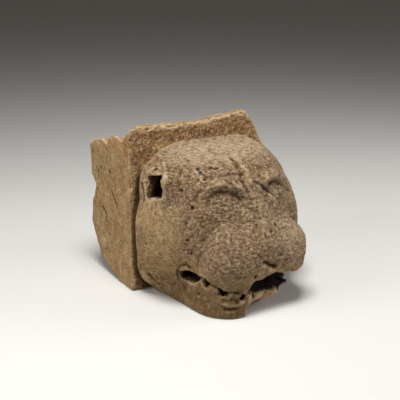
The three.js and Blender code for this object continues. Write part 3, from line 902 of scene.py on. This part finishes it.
def add_node(tree, kind, inputs, **settings):
    """Adds one node with its settings; an input that is a socket is linked, any other value is set."""
    made = tree.nodes.new(kind)
    for key, value in settings.items():
        setattr(made, key, value)
    for key, value in inputs.items():
        if isinstance(value, bpy.types.NodeSocket):
            tree.links.new(value, made.inputs[key])
        else:
            made.inputs[key].default_value = value
    return made


def limestone():
    """Soft porous limestone, hand carved and weathered: matt, speckled, ochre with a greyer face, with
    painted highlights and painted shade laid over it.
    """
    material = bpy.data.materials.new("weathered_limestone")
    material.use_nodes = True
    tree = material.node_tree
    tree.nodes.clear()
    place = add_node(tree, "ShaderNodeTexCoord", {}).outputs["Object"]
    along_strokes = add_node(tree, "ShaderNodeMapping", {
        "Vector": place, "Rotation": (0, 0, math.radians(STROKE_TURN)), "Scale": (STROKE_STRETCH, 1, 1),
    }, vector_type="TEXTURE").outputs["Vector"]
    colour = linear(BED_COLOUR)
    for layer in STONE_LAYERS:
        share = None
        if "grain" in layer:
            scale = 1 / (layer["grain"] * MM)
            grain = add_node(tree, "ShaderNodeTexNoise", {
                "Vector": along_strokes if layer.get("combed") else place,
                "Scale": scale, "Detail": GRAIN_DETAIL, "Roughness": GRAIN_ROUGHNESS,
            })
            share = add_node(tree, "ShaderNodeMapRange", {
                "Value": grain.outputs["Fac"], "From Min": layer["low"], "From Max": layer["high"],
            }).outputs["Result"]
        if "mask" in layer:
            mask = add_node(tree, "ShaderNodeAttribute", {}, attribute_name=layer["mask"]).outputs["Fac"]
            if share is None:
                share = mask
            else:
                both = add_node(tree, "ShaderNodeMath", {0: share, 1: mask}, operation="MULTIPLY")
                share = both.outputs[0]
        # A Mix node's colours are its inputs 6 and 7 and its output 2
        colours = {0: share, 6: colour, 7: linear(layer["colour"])}
        colour = add_node(tree, "ShaderNodeMix", colours, data_type="RGBA").outputs[2]
    grain = add_node(tree, "ShaderNodeTexNoise", {
        "Vector": place, "Scale": 1 / (BUMP_GRAIN * MM),
        "Detail": GRAIN_DETAIL, "Roughness": GRAIN_ROUGHNESS,
    })
    bump = add_node(tree, "ShaderNodeBump", {
        "Height": grain.outputs["Fac"], "Strength": 1.0, "Distance": BUMP_HEIGHT * MM,
    })
    # Chiselled and long weathered stone: an open grain that scatters light and hardly shines
    shader = add_node(tree, "ShaderNodeBsdfPrincipled", {
        "Base Color": colour,
        "Roughness": STONE_ROUGHNESS,
        "Specular IOR Level": STONE_SPECULAR,
        "Normal": bump.outputs["Normal"],
    })
    add_node(tree, "ShaderNodeOutputMaterial", {"Surface": shader.outputs[0]})
    return material


def floor():
    """A plain pale floor, wide enough to fill the picture."""
    half = FLOOR_HALF
    corners = [(-half, -half, 0), (half, -half, 0), (half, half, 0), (-half, half, 0)]
    mesh = bpy.data.meshes.new("floor")
    mesh.from_pydata(corners, [], [(0, 1, 2, 3)])
    piece = bpy.data.objects.new("floor", mesh)
    bpy.context.scene.collection.objects.link(piece)
    # Matt painted board: one even pale tone with a faint sheen
    material = bpy.data.materials.new("pale_floor")
    material.use_nodes = True
    shader = material.node_tree.nodes["Principled BSDF"]
    shader.inputs["Base Color"].default_value = linear(FLOOR_COLOUR)
    shader.inputs["Roughness"].default_value = FLOOR_ROUGHNESS
    mesh.materials.append(material)


def soft_light(name, place, size, watts):
    """One square soft box that faces the stone."""
    light = bpy.data.lights.new(name, "AREA")
    light.size = size
    light.energy = watts
    lamp = bpy.data.objects.new(name, light)
    lamp.location = place
    lamp.rotation_euler = (Vector(LIGHT_AIM) - Vector(place)).to_track_quat("-Z", "Y").to_euler()
    bpy.context.scene.collection.objects.link(lamp)


def studio():
    """A big soft light overhead, weaker ones from both sides, and a dim even sky."""
    for light in SOFT_LIGHTS:
        soft_light(**light)
    world = bpy.data.worlds.new("studio")
    world.use_nodes = True
    background = world.node_tree.nodes["Background"]
    background.inputs["Color"].default_value = linear(SKY_COLOUR)
    background.inputs["Strength"].default_value = SKY_STRENGTH
    bpy.context.scene.world = world
    bpy.context.scene.view_settings.view_transform = "Standard"


def camera():
    """The photograph's view: from the left of the face and a little above it."""
    turn, rise = math.radians(VIEW_TURN), math.radians(VIEW_RISE)
    aim = (Vector(VIEW_AIM) + Vector((0, PLATE_FRONT, 0))) * MM
    back = Vector((math.sin(turn) * math.cos(rise), -math.cos(turn) * math.cos(rise), math.sin(rise)))
    lens = bpy.data.cameras.new("camera")
    lens.sensor_width = SENSOR_WIDTH
    lens.lens = SENSOR_WIDTH / 2 / math.tan(math.radians(VIEW_FIELD / 2))
    eye = bpy.data.objects.new("camera", lens)
    eye.location = aim + back * VIEW_DISTANCE
    eye.rotation_euler = (-back).to_track_quat("-Z", "Y").to_euler()
    bpy.context.scene.collection.objects.link(eye)
    bpy.context.scene.camera = eye


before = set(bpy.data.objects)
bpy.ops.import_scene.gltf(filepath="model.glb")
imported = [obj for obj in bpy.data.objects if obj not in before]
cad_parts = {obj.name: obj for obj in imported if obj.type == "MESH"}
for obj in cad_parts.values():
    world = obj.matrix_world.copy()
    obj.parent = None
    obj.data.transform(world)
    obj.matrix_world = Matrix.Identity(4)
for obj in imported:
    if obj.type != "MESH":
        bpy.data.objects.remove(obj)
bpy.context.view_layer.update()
floor()
studio()
camera()
stone = finished_stone()
stone.data.materials.append(limestone())
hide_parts(NODE)
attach(stone, "root")
